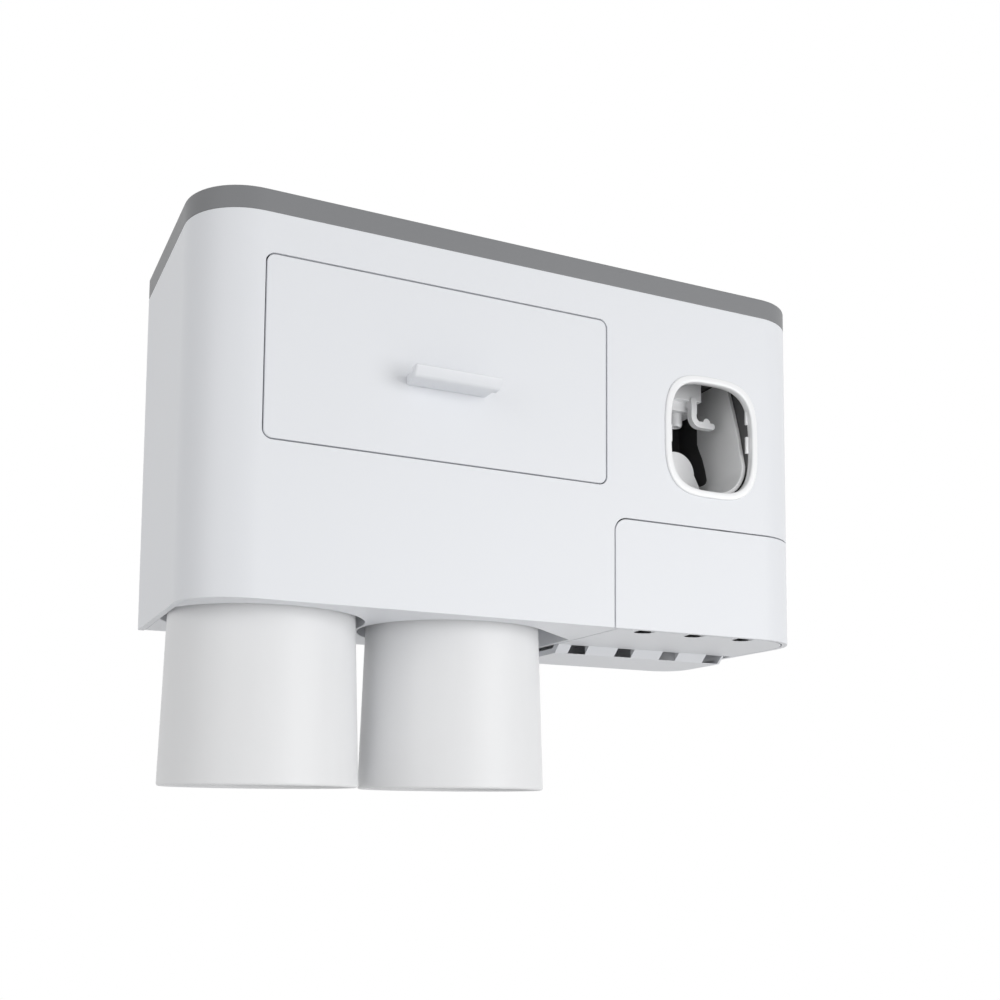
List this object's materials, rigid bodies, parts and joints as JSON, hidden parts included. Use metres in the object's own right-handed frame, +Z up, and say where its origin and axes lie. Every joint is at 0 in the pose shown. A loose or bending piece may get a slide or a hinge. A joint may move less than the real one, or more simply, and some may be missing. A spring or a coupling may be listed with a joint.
{
  "type": "wall-mounted toothbrush holder with toothpaste dispenser",
  "caption": "Wall-hung bathroom organiser with grey top tray, drawer, magnetic hanging cups, covered brush bay with neck slots and a push-paddle toothpaste dispenser in a window.",
  "frame": {"origin": "on the wall plane, at the middle of the wall bracket's adhesive pad", "axes": "+X to the right seen from the room, +Y into the wall, +Z up"},
  "size_m": [0.254, 0.109, 0.2035],
  "materials": {
    "shell_white": "satin moulded",
    "tray_grey": "satin moulded",
    "trim_white": "gloss",
    "cup_frosted": "frosted",
    "guide_grey": "satin moulded",
    "case_dark": "matte",
    "silicone_grey": "matte",
    "seal_black": "matte",
    "pad_foam": "foam",
    "steel": "brushed",
    "magnet": "satin"
  },
  "bodies": {
    "organiser": {"housing_shell": "shell_white", "back_cover": "shell_white", "top_tray": "tray_grey", "tube_socket": "silicone_grey", "wall_bracket": "trim_white", "adhesive_pad": "pad_foam", "back_screws": "steel", "cup_dock": "shell_white", "dock_magnets": "magnet", "rack_base": "shell_white", "brush_bay": "shell_white", "drawer_bay": "shell_white", "window_ring": "trim_white", "dispenser_case": "case_dark", "brush_guide": "guide_grey", "nozzle_block": "trim_white", "nozzle": "trim_white", "feed_tube": "silicone_grey", "inlet_valve": "silicone_grey", "pump_cylinder": "trim_white", "paddle_pin": "steel", "paddle_spring": "steel", "case_screws": "steel"},
    "drawer": {"drawer_front": "shell_white", "drawer_tray": "shell_white", "drawer_handle": "trim_white", "handle_screws": "steel"},
    "flip_cover": {"dust_cover": "shell_white", "cover_rod": "steel"},
    "paddle": {"push_paddle": "trim_white"},
    "piston": {"plunger": "guide_grey", "plunger_seal": "seal_black"},
    "left_cup": {"cup_left": "cup_frosted", "cup_left_disc": "steel"},
    "right_cup": {"cup_right": "cup_frosted", "cup_right_disc": "steel"}
  },
  "joints": [
    {"name": "drawer_slide", "type": "slide", "parent": "organiser", "child": "drawer", "axis": [0, -1, 0], "range_m": [0, 0.06]},
    {"name": "cover_hinge", "type": "hinge", "parent": "organiser", "child": "flip_cover", "pos_m": [0.0806, -0.0935, -0.0491], "axis": [-1, 0, 0], "range_deg": [0, 95]},
    {"name": "paddle_push", "type": "hinge", "parent": "organiser", "child": "paddle", "pos_m": [0.0788, -0.065, -0.0284], "axis": [-1, 0, 0], "range_deg": [0, 12], "stiffness_Nm_per_rad": 0.3, "deforming": ["paddle_spring"]},
    {"name": "plunger_slide", "type": "slide", "parent": "organiser", "child": "piston", "axis": [0, 1, 0], "range_m": [0, 0.004]},
    {"name": "left_cup_slide", "type": "slide", "parent": "organiser", "child": "left_cup", "axis": [0, 0, -1], "range_m": [0, 0.05]},
    {"name": "right_cup_slide", "type": "slide", "parent": "organiser", "child": "right_cup", "axis": [0, 0, -1], "range_m": [0, 0.05]}
  ],
  "couplings": [
    {"joint": "plunger_slide", "follows": "paddle_push", "m_per_rad": 0.0173}
  ]
}
